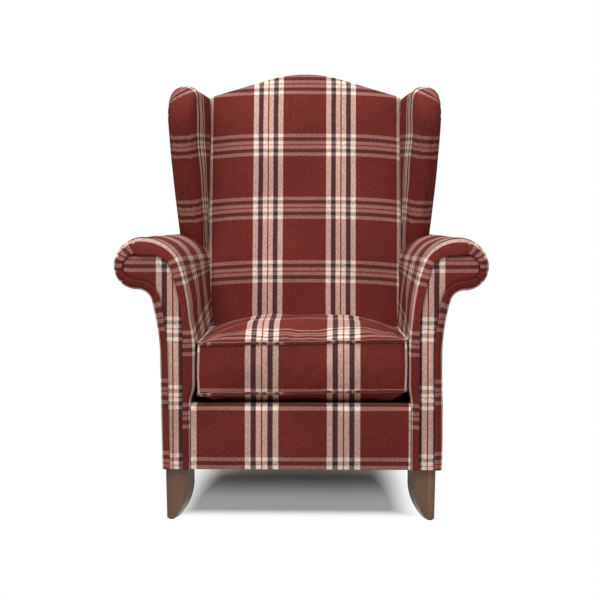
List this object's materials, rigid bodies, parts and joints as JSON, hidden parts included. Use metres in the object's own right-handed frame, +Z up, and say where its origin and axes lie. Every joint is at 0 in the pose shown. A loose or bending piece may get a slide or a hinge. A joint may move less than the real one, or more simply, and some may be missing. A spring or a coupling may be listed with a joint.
{
  "type": "fireside chair",
  "caption": "High-backed upholstered wing armchair with rolled scroll arms, a humped back, a loose box seat cushion and short wooden legs, in tartan cloth.",
  "frame": {"origin": "on the floor, midway across the chair and midway between its foremost and rearmost points", "axes": "+Z up, -Y the way the sitter faces, +X to the right as seen from the front"},
  "size_m": [0.865, 0.7826, 1.0658],
  "materials": {
    "beech": "sawn",
    "plywood": "sawn",
    "leg_wood": "satin stain",
    "plaid_fabric": "woven wool-look plaid",
    "padding": "foam under wadding",
    "cushion_foam": "foam in wadding",
    "webbing": "woven",
    "hessian": "woven",
    "dust_cloth": "non-woven",
    "spring_steel": "oiled",
    "glide_plastic": "smooth",
    "zip_polymer": "woven tape and moulded teeth",
    "zip_metal": "dull"
  },
  "bodies": {
    "chair": {"front_seat_rail": "beech", "back_seat_rail": "beech", "lower_back_rail": "beech", "crest_rail": "beech", "side_seat_rail_left": "beech", "front_post_left": "beech", "arm_board_left": "beech", "arm_tacking_rail_left": "beech", "back_post_left": "beech", "corner_block_front_left": "beech", "corner_block_rear_left": "beech", "side_seat_rail_right": "beech", "front_post_right": "beech", "arm_board_right": "beech", "arm_tacking_rail_right": "beech", "back_post_right": "beech", "corner_block_front_right": "beech", "corner_block_rear_right": "beech", "scroll_board_left": "plywood", "wing_board_left": "plywood", "scroll_board_right": "plywood", "wing_board_right": "plywood", "front_leg_left": "leg_wood", "rear_leg_left": "leg_wood", "front_leg_right": "leg_wood", "rear_leg_right": "leg_wood", "inside_back_cover": "plaid_fabric", "outside_back_cover": "plaid_fabric", "front_border_cover": "plaid_fabric", "platform_cloth": "plaid_fabric", "inside_arm_cover_left": "plaid_fabric", "outside_arm_cover_left": "plaid_fabric", "arm_facing_left": "plaid_fabric", "inside_wing_cover_left": "plaid_fabric", "outside_wing_cover_left": "plaid_fabric", "inside_arm_cover_right": "plaid_fabric", "outside_arm_cover_right": "plaid_fabric", "arm_facing_right": "plaid_fabric", "inside_wing_cover_right": "plaid_fabric", "outside_wing_cover_right": "plaid_fabric", "back_pad": "padding", "front_border_pad": "padding", "deck_pad": "padding", "arm_pad_left": "padding", "wing_pad_left": "padding", "arm_pad_right": "padding", "wing_pad_right": "padding", "back_webbing": "webbing", "platform_hessian": "hessian", "dust_cover": "dust_cloth", "seat_springs": "spring_steel", "spring_clips": "spring_steel", "leg_bolts": "spring_steel", "leg_glides": "glide_plastic"},
    "seat_cushion": {"cushion_core": "cushion_foam", "cushion_cover": "plaid_fabric", "cushion_welts": "plaid_fabric", "cushion_zip": "zip_polymer"},
    "zip_slider": {"zip_slider": "zip_metal"}
  },
  "joints": [
    {"name": "cushion_lift", "type": "slide", "parent": "chair", "child": "seat_cushion", "axis": [0, -0.7071, 0.7071], "range_m": [0, 0.78]},
    {"name": "slider_travel", "type": "slide", "parent": "seat_cushion", "child": "zip_slider", "axis": [1, 0, 0], "range_m": [0, 0.3856]}
  ]
}
